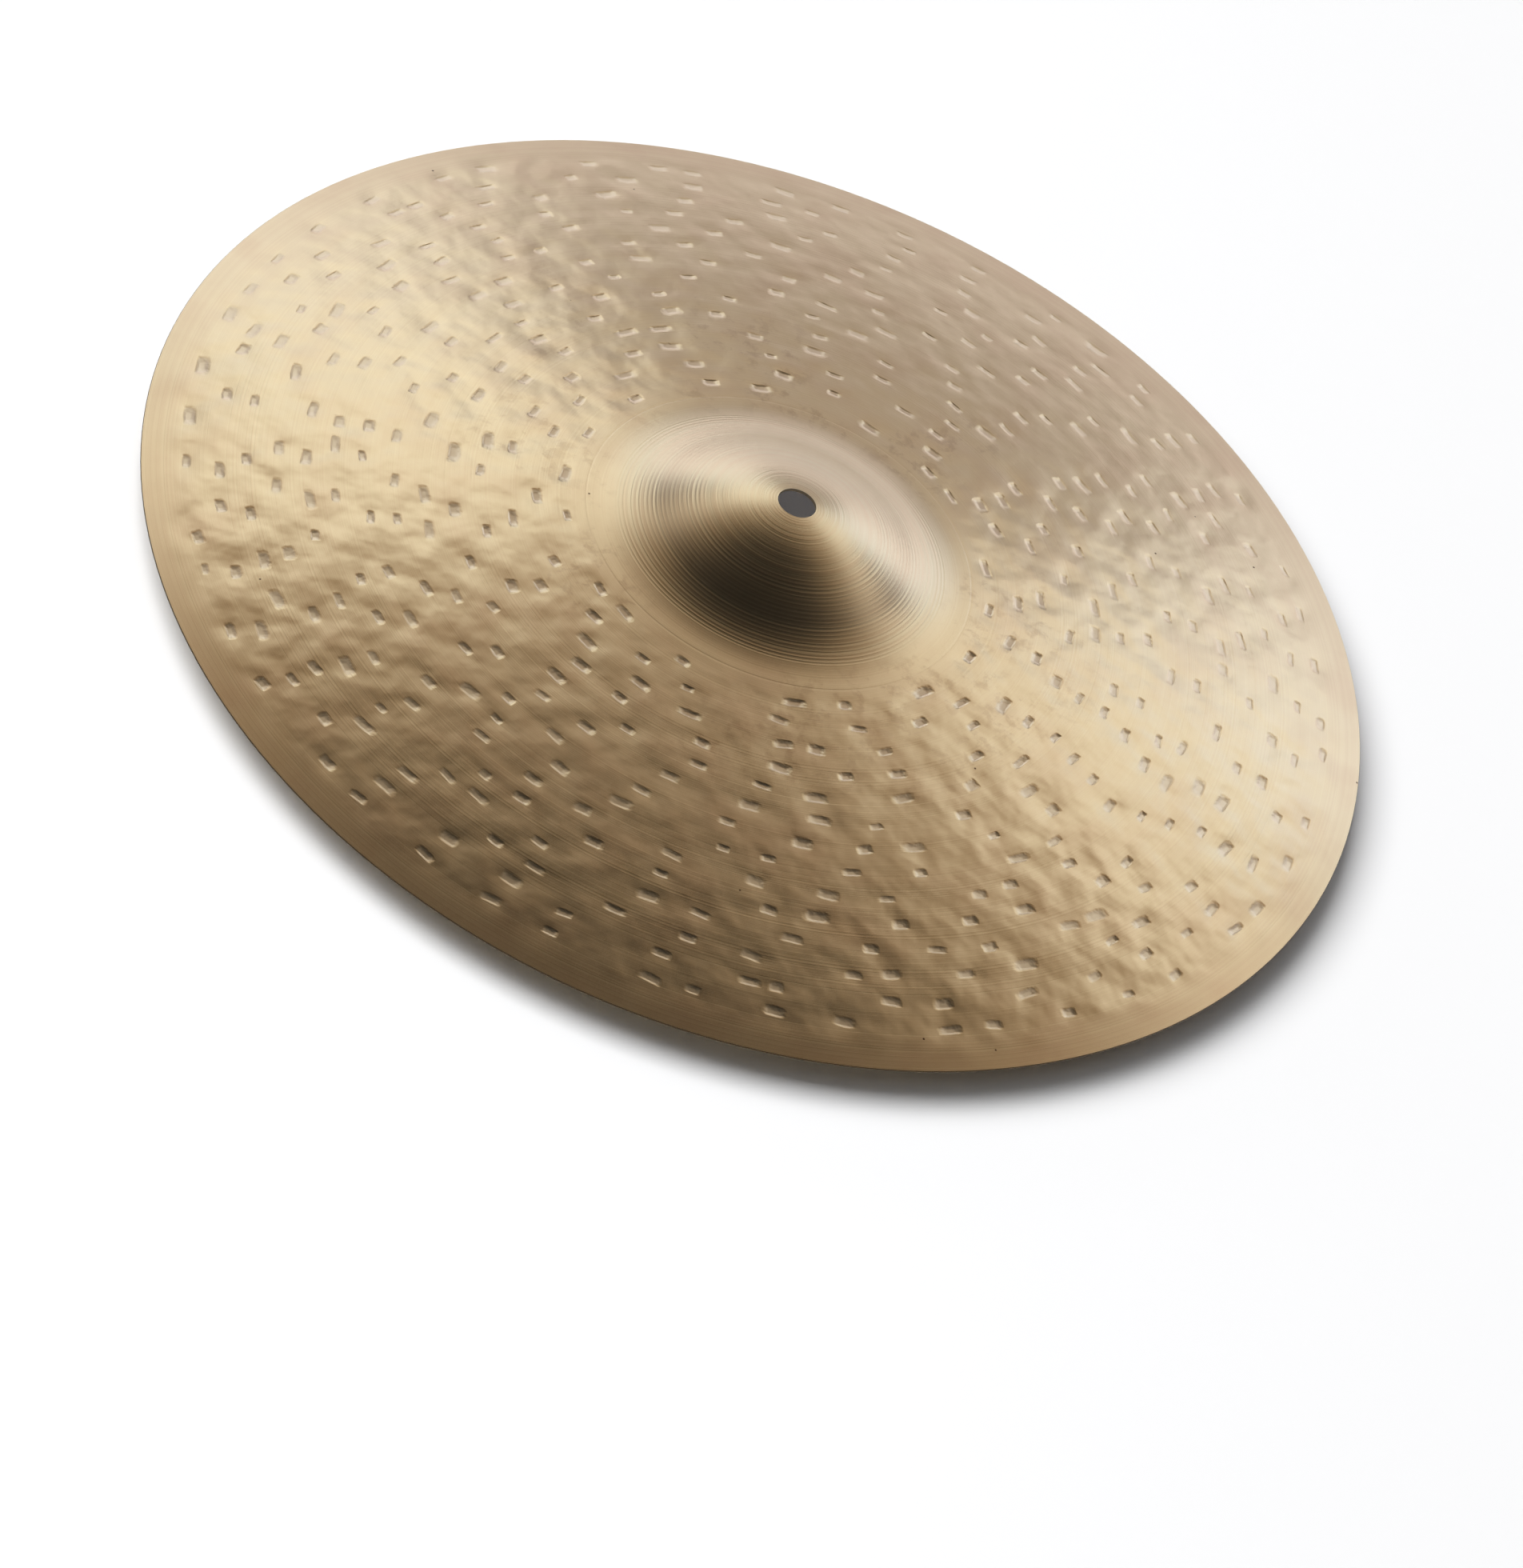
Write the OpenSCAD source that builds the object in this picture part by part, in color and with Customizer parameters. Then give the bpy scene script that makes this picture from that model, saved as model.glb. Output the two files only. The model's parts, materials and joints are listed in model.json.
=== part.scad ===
// Crash cymbal, 16 inch, thin.
// One cast, rolled, hammered and lathed bronze plate: a bell with turned grooves, a bow
// that thins towards the rim and is hammered in rings, and a plain drilled centre hole.
// Millimetres. Z is up, the rim rests on Z = 0 and the centre hole is on the Z axis.

/* [Plate] */
// Diameter over the rim
rim_d = 406.4; // [300:0.1:510]
// Radius of the sphere that the top of the bow lies on
bow_radius = 855; // [600:5:1400]

/* [Bell] */
// Diameter at which the foot of the bell runs out into the bow
foot_d = 124; // [110:1:156]
// Diameter at which the side of the bell is steepest
flank_d = 81; // [64:1:104]
// Steepest slope of the side of the bell, in degrees
flank_angle = 27.5; // [22:0.5:38]
// Diameter of the round crown of the bell
crown_d = 44; // [24:1:56]
// Slope at the edge of the crown, in degrees
crown_angle = 19; // [8:0.5:20]

/* [Wall] */
// Wall of the bell
bell_wall = 1.1; // [0.8:0.05:2.4]
// Wall at the rim
rim_wall = 0.6; // [0.5:0.05:1.5]
// Chamfer on both edges of the rim
rim_chamfer = 0.15; // [0.05:0.05:0.2]

/* [Centre hole] */
// Diameter of the centre hole
hole_d = 12.7; // [9:0.1:16]

/* [Lathing] */
// Distance between the turned grooves on the side of the bell
groove_pitch = 1.25; // [0.9:0.05:3]
// Depth of the turned grooves
groove_depth = 0.06; // [0.02:0.01:0.12]
// Diameter of the innermost groove
groove_first_d = 56; // [50:1:60]
// Number of turned grooves
groove_count = 22; // [0:1:22]

/* [Hammering] */
// Distance from the foot of the bell to the first ring of hammer marks
foot_gap = 9; // [6:0.5:30]
// Distance between the rings of hammer marks
ring_pitch = 9.1; // [7:0.1:20]
// Least width of the plain band between the last ring and the rim
plain_band = 13; // [6:0.5:40]
// Usual distance between the marks along a ring
mark_spacing = 24; // [14:1:60]
// Usual length of a mark, along the ring
mark_length = 5.6; // [3:0.1:8]
// Usual width of a mark, across the ring
mark_width = 3; // [2:0.1:4]
// Usual depth of a mark
mark_depth = 0.16; // [0.05:0.01:0.25]

/* [Hidden] */
$fn = 180;

BRONZE = [0.80, 0.66, 0.45];
arc_steps = 12;
cut_past = 5;
mark_facets = 96;

// How unevenly the hammer is guided: at most these shares of a step along the ring and of
// a mark's size, millimetres across the ring, and degrees of twist.
step_play = 0.34;
size_play = 0.16;
drift_play = 0.7;
twist_play = 9;
plays_each = 4;
golden = (sqrt(5) - 1) / 2;

rim_r = rim_d / 2;
foot_r = foot_d / 2;
flank_r = flank_d / 2;
crown_r = crown_d / 2;
hole_r = hole_d / 2;
foot_angle = asin(foot_r / bow_radius);
rim_angle = asin(rim_r / bow_radius);

// The rings of hammer marks lie between the bell and the plain band along the rim.
first_ring_r = foot_r + foot_gap;
ring_count = max(0, 1 + floor((rim_r - plain_band - first_ring_r) / ring_pitch));
function ring_r(k) = first_ring_r + k * ring_pitch;
function marks_in(k) = floor(2 * PI * ring_r(k) / mark_spacing);
function marks_before(k) = k == 0 ? 0 : marks_before(k - 1) + marks_in(k - 1);

// A value between -1 and 1 that looks random but is the same in each build.
function play(n) = 2 * ((n * n * golden) % 1) - 1;

// A point of the top profile is [radius, height, slope in degrees, downwards and outwards].
// The stretch from p to radius r2 and slope a2 is one arc that leaves p tangentially.
function arc_point(p, r2, a2, share) =
    let (
        swing = (r2 - p[0]) / (sin(a2) - sin(p[2])),
        a = p[2] + (a2 - p[2]) * share
    )
    [p[0] + swing * (sin(a) - sin(p[2])), p[1] - swing * (cos(p[2]) - cos(a)), a];

function arc_run(p, r2, a2, steps) = [for (i = [1:steps]) arc_point(p, r2, a2, i / steps)];

function last(list) = list[len(list) - 1];

// Heights are first counted down from the top of the crown.
crown_top = [0, 0, 0];
crown = arc_run(crown_top, crown_r, crown_angle, arc_steps);
shoulder = arc_run(last(crown), flank_r, flank_angle, arc_steps * 2);
fillet = arc_run(last(shoulder), foot_r, foot_angle, arc_steps);
bell = concat([crown_top], crown, shoulder, fillet);

// The bow is one sphere, given as a band for each ring of hammer marks.
function bow_point(r) =
    let (a = asin(r / bow_radius))
    [r, last(fillet)[1] - bow_radius * (cos(foot_angle) - cos(a)), a];

bow = [for (k = [0:ring_count]) bow_point(ring_r(k - 0.5)), bow_point(rim_r)];
smooth_top = concat(bell, bow);

function wall_at(r) =
    r <= foot_r ? bell_wall : bell_wall + (rim_wall - bell_wall) * (r - foot_r) / (rim_r - foot_r);

// A profile point moved into the plate along the surface normal.
function inward(p, depth) = [p[0] - depth * sin(p[2]), p[1] - depth * cos(p[2])];

// Height and slope of the smooth top at radius r, between its two nearest points.
function top_at(r) =
    let (
        i = max([for (k = [0:len(smooth_top) - 2]) smooth_top[k][0] <= r ? k : 0]),
        p = smooth_top[i],
        q = smooth_top[i + 1],
        share = (r - p[0]) / (q[0] - p[0])
    )
    p + (q - p) * share;

// Grooves take the place of the smooth points between the first groove and the last.
groove_in = groove_first_d / 2 - groove_pitch / 2;
groove_out = groove_in + groove_pitch * groove_count;
grooves = [
    for (i = [0:groove_count * 2])
        inward(top_at(groove_in + i * groove_pitch / 2), i % 2 == 0 ? 0 : groove_depth)
];
top_in = [for (p = smooth_top) if (p[0] < groove_in) [p[0], p[1]]];
top_out = [for (p = smooth_top) if (p[0] > groove_out && p[0] < rim_r - rim_chamfer) [p[0], p[1]]];
top = concat(top_in, grooves, top_out);

under = [
    for (i = [len(smooth_top) - 1:-1:1])
        inward(smooth_top[i], wall_at(smooth_top[i][0]))
];
under_axis = [0, -bell_wall];

// The rim is cut upright between the two surfaces, with both of its edges broken.
rim_top_z = last(bow)[1];
rim_under_z = under[0][1];
rim_edge = [
    top_at(rim_r - rim_chamfer),
    [rim_r, rim_top_z - rim_chamfer],
    [rim_r, rim_under_z + rim_chamfer],
];

// The plate from the rim's underside up, before the centre hole is drilled.
module blank() {
    rotate_extrude()
        polygon([for (p = concat(top, rim_edge, under, [under_axis])) [p[0], p[1]]]);
}

module centre_hole() {
    translate([0, 0, rim_under_z - cut_past])
        cylinder(h = -rim_under_z + 2 * cut_past, r = hole_r);
}

// One mark is what a hammer with a cylindrical face leaves at a point of the top profile,
// lying along the ring.
module mark(p, twist, size) {
    width = mark_width * size;
    depth = mark_depth * size;
    face_r = (width * width / 4 + depth * depth) / (2 * depth);
    centre = inward(p, depth - face_r);
    translate([centre[0], 0, centre[1]])
        rotate([0, p[2], 0])
            rotate([90, 0, twist])
                cylinder(h = mark_length * size, r = face_r, center = true, $fn = mark_facets);
}

// The marks of one ring stand at uneven steps, each a little out of line.
module ring_of_marks(k) {
    start = play(k + 1);
    for (i = [0:marks_in(k) - 1]) {
        n = plays_each * (marks_before(k) + i + 1);
        step = start + i + step_play * play(n);
        p = top_at(ring_r(k) + drift_play * play(n + 1));
        rotate([0, 0, 360 * step / marks_in(k)])
            mark(p, twist_play * play(n + 2), 1 + size_play * play(n + 3));
    }
}

module cymbal() {
    color(BRONZE)
        translate([0, 0, -rim_under_z])
            difference() {
                blank();
                centre_hole();
                for (k = [0:1:ring_count - 1]) ring_of_marks(k);
            }
}

cymbal();
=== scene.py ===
"""The looks of a 16 inch thin crash cymbal: a hammered and lathed bronze plate on a plain pale floor."""

import json
import math
import random

import bmesh
import bpy
import numpy as np
from mathutils import Matrix, Quaternion, Vector
from mathutils.kdtree import KDTree


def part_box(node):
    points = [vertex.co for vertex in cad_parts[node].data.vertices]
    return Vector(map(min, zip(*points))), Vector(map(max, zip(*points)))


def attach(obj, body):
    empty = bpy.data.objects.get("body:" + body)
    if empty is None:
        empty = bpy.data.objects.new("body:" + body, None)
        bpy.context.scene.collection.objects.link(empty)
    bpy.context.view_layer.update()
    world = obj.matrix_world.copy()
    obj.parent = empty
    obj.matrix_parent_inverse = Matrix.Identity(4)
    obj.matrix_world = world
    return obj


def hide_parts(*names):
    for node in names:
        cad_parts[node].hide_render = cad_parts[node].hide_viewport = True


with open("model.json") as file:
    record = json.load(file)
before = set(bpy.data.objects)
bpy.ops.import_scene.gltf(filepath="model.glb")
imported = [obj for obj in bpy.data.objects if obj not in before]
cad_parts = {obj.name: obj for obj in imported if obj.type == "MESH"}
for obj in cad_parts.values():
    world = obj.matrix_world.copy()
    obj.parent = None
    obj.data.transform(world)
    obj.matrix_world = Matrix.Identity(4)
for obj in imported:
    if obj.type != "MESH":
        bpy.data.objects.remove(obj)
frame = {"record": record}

bl_info = {
    "name": "Crash cymbal",
    "version": (1, 0, 0),
    "blender": (4, 5, 0),
    "location": "3D View > Sidebar > Cymbal",
    "description": "Builds a hammered and lathed crash cymbal round its packed frame",
    "category": "Add Mesh",
}

MM = 0.001
NODE = "cymbal"
BODY = "root"
IMAGE_WIDTH, IMAGE_HEIGHT = 1904, 1960
FRAME_LOW, FRAME_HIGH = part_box(NODE)
HOLE = frame["record"]["mounts"][0]["dims"]


# ---------------------------------------------------------------- sizes and colours

class CymbalPlate(bpy.types.PropertyGroup):
    """The plate's form, without its hammering and lathing."""

    rim_diameter: bpy.props.FloatProperty(
        name="Rim diameter", description="Diameter over the rim",
        default=FRAME_HIGH.x - FRAME_LOW.x, unit="LENGTH")
    hole_diameter: bpy.props.FloatProperty(
        name="Hole diameter", description="Diameter of the centre hole",
        default=2 * HOLE["r_mm"] * MM, unit="LENGTH")
    bow_radius: bpy.props.FloatProperty(
        name="Bow radius", description="Radius of the sphere that the top of the bow lies on",
        default=855 * MM, unit="LENGTH")
    foot_diameter: bpy.props.FloatProperty(
        name="Foot diameter", description="Where the foot of the bell runs out into the bow",
        default=124 * MM, unit="LENGTH")
    flank_diameter: bpy.props.FloatProperty(
        name="Flank diameter", description="Where the side of the bell is steepest",
        default=81 * MM, unit="LENGTH")
    flank_slope: bpy.props.FloatProperty(
        name="Flank slope", description="Steepest slope of the side of the bell",
        default=math.radians(27.5), unit="ROTATION")
    crown_diameter: bpy.props.FloatProperty(
        name="Crown diameter", description="Diameter of the round crown of the bell",
        default=44 * MM, unit="LENGTH")
    crown_slope: bpy.props.FloatProperty(
        name="Crown slope", description="Slope at the edge of the crown",
        default=math.radians(19), unit="ROTATION")
    bell_wall: bpy.props.FloatProperty(
        name="Bell wall", description="Wall of the bell", default=1.1 * MM, unit="LENGTH")
    rim_wall: bpy.props.FloatProperty(
        name="Rim wall", description="Wall at the rim", default=0.6 * MM, unit="LENGTH")
    rim_chamfer: bpy.props.FloatProperty(
        name="Rim chamfer", description="Broken edge above and below the rim",
        default=0.15 * MM, unit="LENGTH")


class CymbalHammering(bpy.types.PropertyGroup):
    """The rings of hammer marks on the bow."""

    first_ring_diameter: bpy.props.FloatProperty(
        name="First ring", description="Diameter of the innermost ring of marks",
        default=142 * MM, unit="LENGTH")
    ring_pitch: bpy.props.FloatProperty(
        name="Ring pitch", description="Distance between the rings", default=9.1 * MM, unit="LENGTH")
    ring_count: bpy.props.IntProperty(
        name="Rings", description="Number of rings of marks", default=14)
    spacing: bpy.props.FloatProperty(
        name="Spacing", description="Usual distance between the marks along a ring",
        default=24 * MM, unit="LENGTH")
    length: bpy.props.FloatProperty(
        name="Length", description="Usual length of a mark along the ring",
        default=5.6 * MM, unit="LENGTH")
    width: bpy.props.FloatProperty(
        name="Width", description="Usual width of a mark across the ring",
        default=3.0 * MM, unit="LENGTH")
    depth: bpy.props.FloatProperty(
        name="Depth", description="Usual depth of a mark", default=0.16 * MM, unit="LENGTH")
    wall: bpy.props.FloatProperty(
        name="Wall", description="Width of the sloping wall round the floor of a mark",
        default=1.05 * MM, unit="LENGTH")
    step_play: bpy.props.FloatProperty(
        name="Step play", description="Largest shift of a mark along its ring, as a share of a step",
        default=0.34, subtype="FACTOR")
    drift_play: bpy.props.FloatProperty(
        name="Drift play", description="Largest shift of a mark across its ring",
        default=0.7 * MM, unit="LENGTH")
    twist_play: bpy.props.FloatProperty(
        name="Twist play", description="Largest twist of a mark out of its ring",
        default=math.radians(9), unit="ROTATION")
    size_play: bpy.props.FloatProperty(
        name="Size play", description="Largest share by which a mark is bigger or smaller than usual",
        default=0.16, subtype="FACTOR")
    dip: bpy.props.FloatProperty(
        name="Dip", description="Depth of the wide dip that each blow leaves round its mark",
        default=0.16 * MM, unit="LENGTH")
    waves: bpy.props.FloatProperty(
        name="Waves", description="Height of the long uneven waves that the hammering leaves",
        default=0.03 * MM, unit="LENGTH")
    ripples: bpy.props.FloatProperty(
        name="Ripples", description="Height of the short ripples between the marks",
        default=0.43 * MM, unit="LENGTH")
    ripple_size: bpy.props.FloatProperty(
        name="Ripple size", description="Usual distance between the short ripples",
        default=11 * MM, unit="LENGTH")


class CymbalLathing(bpy.types.PropertyGroup):
    """The turned grooves on the bell and the fine lines on the whole plate."""

    first_groove_diameter: bpy.props.FloatProperty(
        name="First groove", description="Diameter of the innermost groove on the bell",
        default=56 * MM, unit="LENGTH")
    groove_pitch: bpy.props.FloatProperty(
        name="Groove pitch", description="Distance between the grooves on the bell",
        default=1.25 * MM, unit="LENGTH")
    groove_depth: bpy.props.FloatProperty(
        name="Groove depth", description="Depth of the grooves on the bell",
        default=0.06 * MM, unit="LENGTH")
    groove_count: bpy.props.IntProperty(
        name="Grooves", description="Number of grooves on the bell", default=22)
    line_pitch: bpy.props.FloatProperty(
        name="Line pitch", description="Distance between the fine lines", default=0.6 * MM, unit="LENGTH")
    line_depth: bpy.props.FloatProperty(
        name="Line depth", description="Depth of the fine lines", default=0.03 * MM, unit="LENGTH")
    ring_depth: bpy.props.FloatProperty(
        name="Ring depth", description="Depth of the soft uneven rings on the bell",
        default=0.05 * MM, unit="LENGTH")
    turning_pitch: bpy.props.FloatProperty(
        name="Turning pitch", description="Distance between the regular turned lines on the bow",
        default=1.2 * MM, unit="LENGTH")
    turning_depth: bpy.props.FloatProperty(
        name="Turning depth", description="Depth of the regular turned lines on the bow",
        default=0.012 * MM, unit="LENGTH")
    edge_diameter: bpy.props.FloatProperty(
        name="Edge", description="Diameter of the thin turned edge round the foot of the bell",
        default=127.8 * MM, unit="LENGTH")


class CymbalFinish(bpy.types.PropertyGroup):
    """Colour and gloss of the bronze."""

    bronze: bpy.props.FloatVectorProperty(
        name="Bronze", description="Colour of the clean lathed bronze",
        default=(0.79, 0.67, 0.47), subtype="COLOR", size=3)
    tarnish: bpy.props.FloatVectorProperty(
        name="Tarnish", description="Colour of the faint tarnish on the lathed bronze",
        default=(0.72, 0.57, 0.40), subtype="COLOR", size=3)
    struck: bpy.props.FloatVectorProperty(
        name="Struck", description="Colour of the bronze that the hammer has pressed smooth",
        default=(0.84, 0.73, 0.56), subtype="COLOR", size=3)
    bell: bpy.props.FloatVectorProperty(
        name="Bell", description="Colour of the deeply lathed bronze of the bell",
        default=(0.74, 0.64, 0.46), subtype="COLOR", size=3)
    patina: bpy.props.FloatVectorProperty(
        name="Patina", description="Colour of the small dark patches that the lathe missed",
        default=(0.44, 0.31, 0.20), subtype="COLOR", size=3)
    # painted shade: near-black colour for the upright walls of the rim and the hole, standing in for the
    # dark line of shade along the rim
    cut: bpy.props.FloatVectorProperty(
        name="Cut", description="Colour of the cut edge of the rim and of the wall of the hole",
        default=(0.09, 0.065, 0.04), subtype="COLOR", size=3)
    pit: bpy.props.FloatVectorProperty(
        name="Pit", description="Colour of the few dark casting pits",
        default=(0.10, 0.06, 0.04), subtype="COLOR", size=3)
    roughness: bpy.props.FloatProperty(
        name="Roughness", description="Roughness of the lathed bronze", default=0.31, subtype="FACTOR")
    grain: bpy.props.FloatProperty(
        name="Grain", description="How much rougher the lathed bronze is across its lines than along them",
        default=0.6, subtype="FACTOR")
    bell_roughness: bpy.props.FloatProperty(
        name="Bell roughness", description="Roughness of the bell", default=0.31, subtype="FACTOR")
    bell_grain: bpy.props.FloatProperty(
        name="Bell grain", description="How much rougher the bell is across its lines than along them",
        default=0.3, subtype="FACTOR")
    struck_roughness: bpy.props.FloatProperty(
        name="Struck roughness", description="Roughness of the bronze that the hammer has struck",
        default=0.4, subtype="FACTOR")


class CymbalStage(bpy.types.PropertyGroup):
    """Floor, lights and camera."""

    floor_drop: bpy.props.FloatProperty(
        name="Floor drop", description="How far the floor lies below the rim",
        default=12.5 * MM, unit="LENGTH")
    floor_colour: bpy.props.FloatVectorProperty(
        name="Floor", description="Colour of the floor", default=(0.85, 0.85, 0.85), subtype="COLOR", size=3)
    camera_elevation: bpy.props.FloatProperty(
        name="Elevation", description="Camera's height above the horizon",
        default=math.radians(40.928), unit="ROTATION")
    camera_roll: bpy.props.FloatProperty(
        name="Roll", description="Turn of the picture round the line of sight",
        default=math.radians(24.347), unit="ROTATION")
    camera_distance: bpy.props.FloatProperty(
        name="Distance", description="Camera's distance from the middle of the rim",
        default=3.6636, unit="LENGTH")
    focal_pixels: bpy.props.FloatProperty(
        name="Focal length", description="Focal length in pixels of the picture", default=14450.0)
    rim_centre_x: bpy.props.FloatProperty(
        name="Rim centre X", description="Pixel column of the middle of the rim", default=947.49)
    rim_centre_y: bpy.props.FloatProperty(
        name="Rim centre Y", description="Pixel row of the middle of the rim", default=737.36)


# ---------------------------------------------------------------- the plate's form

class TopProfile:
    """The smooth top as a chain of arcs that meet tangentially: height and slope at any radius."""

    def __init__(self, plate):
        sphere = plate.bow_radius
        foot, rim = plate.foot_diameter / 2, plate.rim_diameter / 2
        self.radii = np.array([0, plate.crown_diameter / 2, plate.flank_diameter / 2, foot, rim])
        slopes = (0, plate.crown_slope, plate.flank_slope, math.asin(foot / sphere), math.asin(rim / sphere))
        self.sines = np.sin(slopes)
        self.bends = np.diff(self.radii) / np.diff(self.sines)
        cosines = np.cos(slopes)
        falls = self.bends * (cosines[:-1] - cosines[1:])
        self.heights = np.concatenate([[0], -np.cumsum(falls)])
        self.cosines = cosines
        rim_under = self.heights[-1] - plate.rim_wall * cosines[-1]
        self.heights -= rim_under

    def sine(self, r):
        return np.interp(r, self.radii, self.sines)

    def height(self, r):
        k = np.clip(np.searchsorted(self.radii, r, side="right") - 1, 0, len(self.bends) - 1)
        cosine = np.sqrt(1 - self.sine(r) ** 2)
        return self.heights[k] - self.bends[k] * (self.cosines[k] - cosine)


class UnderProfile:
    """The underside: the top moved into the plate by a wall that thins towards the rim."""

    SAMPLES = 4000         # points of the curve that it is read from

    def __init__(self, plate, top):
        r = np.linspace(0, plate.rim_diameter / 2, self.SAMPLES)
        foot, rim = plate.foot_diameter / 2, plate.rim_diameter / 2
        share = np.clip((r - foot) / (rim - foot), 0, 1)
        wall = plate.bell_wall + (plate.rim_wall - plate.bell_wall) * share
        sine = top.sine(r)
        cosine = np.sqrt(1 - sine**2)
        self.radii = r - wall * sine
        self.heights = top.height(r) - wall * cosine
        self.sines = sine

    def sine(self, r):
        return np.interp(r, self.radii, self.sines)

    def height(self, r):
        return np.interp(r, self.radii, self.heights)


def smooth_step(value, low, high):
    """0 below low and 1 above high, with a smooth step between."""
    t = np.clip((value - low) / (high - low), 0, 1)
    return t * t * (3 - 2 * t)


# ---------------------------------------------------------------- hammering

GOLDEN = (math.sqrt(5) - 1) / 2
PLAYS_EACH = 4             # steps of play() from one mark to the next


def play(n):
    """A value between -1 and 1 that looks random but is the same in each build."""
    return 2 * (n * n * GOLDEN % 1) - 1


class Mark:
    """One hammer mark: where it lies on the bow, how it is turned and how big it is."""

    def __init__(self, radius, angle, twist, size, variety):
        self.centre = Vector((radius * math.cos(angle), radius * math.sin(angle), 0))
        heading = angle + math.pi / 2 + twist
        self.along = Vector((math.cos(heading), math.sin(heading), 0))
        self.inward = Vector((-math.sin(heading), math.cos(heading), 0))
        self.size, self.variety = size, variety


def scatter_marks(hammering):
    """Rings of marks at uneven steps, as a hand-guided hammer leaves them."""
    marks = []
    for ring in range(hammering.ring_count):
        radius = hammering.first_ring_diameter / 2 + ring * hammering.ring_pitch
        count = int(math.tau * radius / hammering.spacing)
        start = play(ring + 1)
        for i in range(count):
            n = PLAYS_EACH * (len(marks) + 1)
            step = start + i + hammering.step_play * play(n)
            marks.append(Mark(
                radius + hammering.drift_play * play(n + 1), math.tau * step / count,
                hammering.twist_play * play(n + 2), 1 + hammering.size_play * play(n + 3),
                play(2 * n + 1)))
    return marks


class Hammering:
    """Height of the hammered surface above the smooth one, at points x, y."""

    DIP_ALONG = 6.5 * MM   # spread of the wide dip round a mark
    DIP_ACROSS = 3.8 * MM
    WAVE_COUNT = 48
    WAVE_SHORT, WAVE_LONG = 12 * MM, 28 * MM
    WAVES_BEGIN = 0.8      # where the waves fade in before the first ring, in steps between rings
    WAVES_KEEP, WAVES_END = 0.3, 1.3  # where they fade out beyond the last ring
    SEED = 16

    def __init__(self, hammering):
        self.marks = scatter_marks(hammering)
        self.settings = hammering
        first = hammering.first_ring_diameter / 2
        last = first + (hammering.ring_count - 1) * hammering.ring_pitch
        pitch = hammering.ring_pitch
        self.inner = (first - self.WAVES_BEGIN * pitch, first)
        self.outer = (last + self.WAVES_KEEP * pitch, last + self.WAVES_END * pitch)
        dice = random.Random(self.SEED)
        self.waves = []
        for _ in range(self.WAVE_COUNT):
            number = math.tau / dice.uniform(self.WAVE_SHORT, self.WAVE_LONG)
            heading = dice.uniform(0, math.pi)
            phase = dice.uniform(0, math.tau)
            self.waves.append((number * math.cos(heading), number * math.sin(heading), phase))
        self.tree = KDTree(len(self.marks))
        for i, mark in enumerate(self.marks):
            self.tree.insert(mark.centre, i)
        self.tree.balance()

    def uneven(self, x, y):
        """The long waves that spread over the whole hammered bow."""
        height = np.zeros_like(x)
        for kx, ky, phase in self.waves:
            height += np.cos(kx * x + ky * y + phase)
        r = np.hypot(x, y)
        window = smooth_step(r, *self.inner) * (1 - smooth_step(r, *self.outer))
        return height * window * self.settings.waves / math.sqrt(self.WAVE_COUNT / 2)

    def local(self, mark, x, y):
        """Place in a mark, along it and towards the axis, as if the mark had the usual size."""
        dx, dy = x - mark.centre.x, y - mark.centre.y
        return ((dx * mark.along.x + dy * mark.along.y) / mark.size,
                (dx * mark.inward.x + dy * mark.inward.y) / mark.size)

    def dip(self, mark, x, y):
        """The wide soft dip round a mark, which shows on both sides of the plate."""
        u, v = self.local(mark, x, y)
        spread = (u / self.DIP_ALONG) ** 2 + (v / self.DIP_ACROSS) ** 2
        return -self.settings.dip * mark.size * np.exp(-spread)

    def dent(self, mark, x, y):
        """The mark itself: a flat floor inside a sloping wall with round corners."""
        u, v = self.local(mark, x, y)
        wall = self.settings.wall
        end = np.clip(np.abs(u) - self.settings.length / 2 + wall, 0, None)
        side = np.clip(np.abs(v) - self.settings.width / 2 + wall, 0, None)
        return -self.settings.depth * mark.size * (1 - smooth_step(np.hypot(end, side), 0, wall))


# ---------------------------------------------------------------- mesh

def read(items, name, width=1, kind=float):
    """One property of all the items, as an array."""
    values = np.zeros(len(items) * width, kind)
    items.foreach_get(name, values)
    return values.reshape(-1, width) if width > 1 else values


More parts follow.
